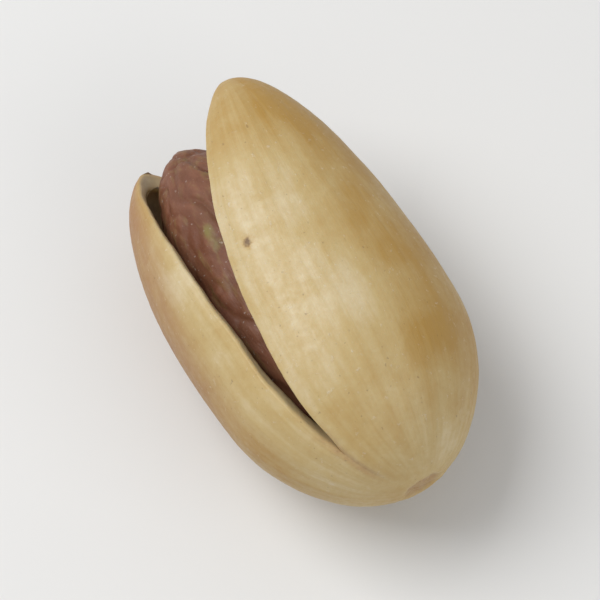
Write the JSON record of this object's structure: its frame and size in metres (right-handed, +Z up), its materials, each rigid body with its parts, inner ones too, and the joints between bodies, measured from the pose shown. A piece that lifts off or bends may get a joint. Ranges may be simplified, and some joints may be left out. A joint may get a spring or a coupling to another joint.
{
  "type": "pistachio in shell",
  "caption": "Roasted pistachio in its split cream shell, lying on its lower valve, with the kernel, in its skin, showing in the open mouth.",
  "frame": {"origin": "on the surface the nut rests on, under the middle of its bounding box", "axes": "+X along the nut from its open tip to its blunt base, +Z up, and the open slit faces up and towards -Y"},
  "size_m": [0.021, 0.0124, 0.0121],
  "materials": {
    "shell": "satin",
    "kernel": "matte"
  },
  "bodies": {
    "root": {"shell": "shell", "kernel": "kernel"}
  },
  "joints": []
}
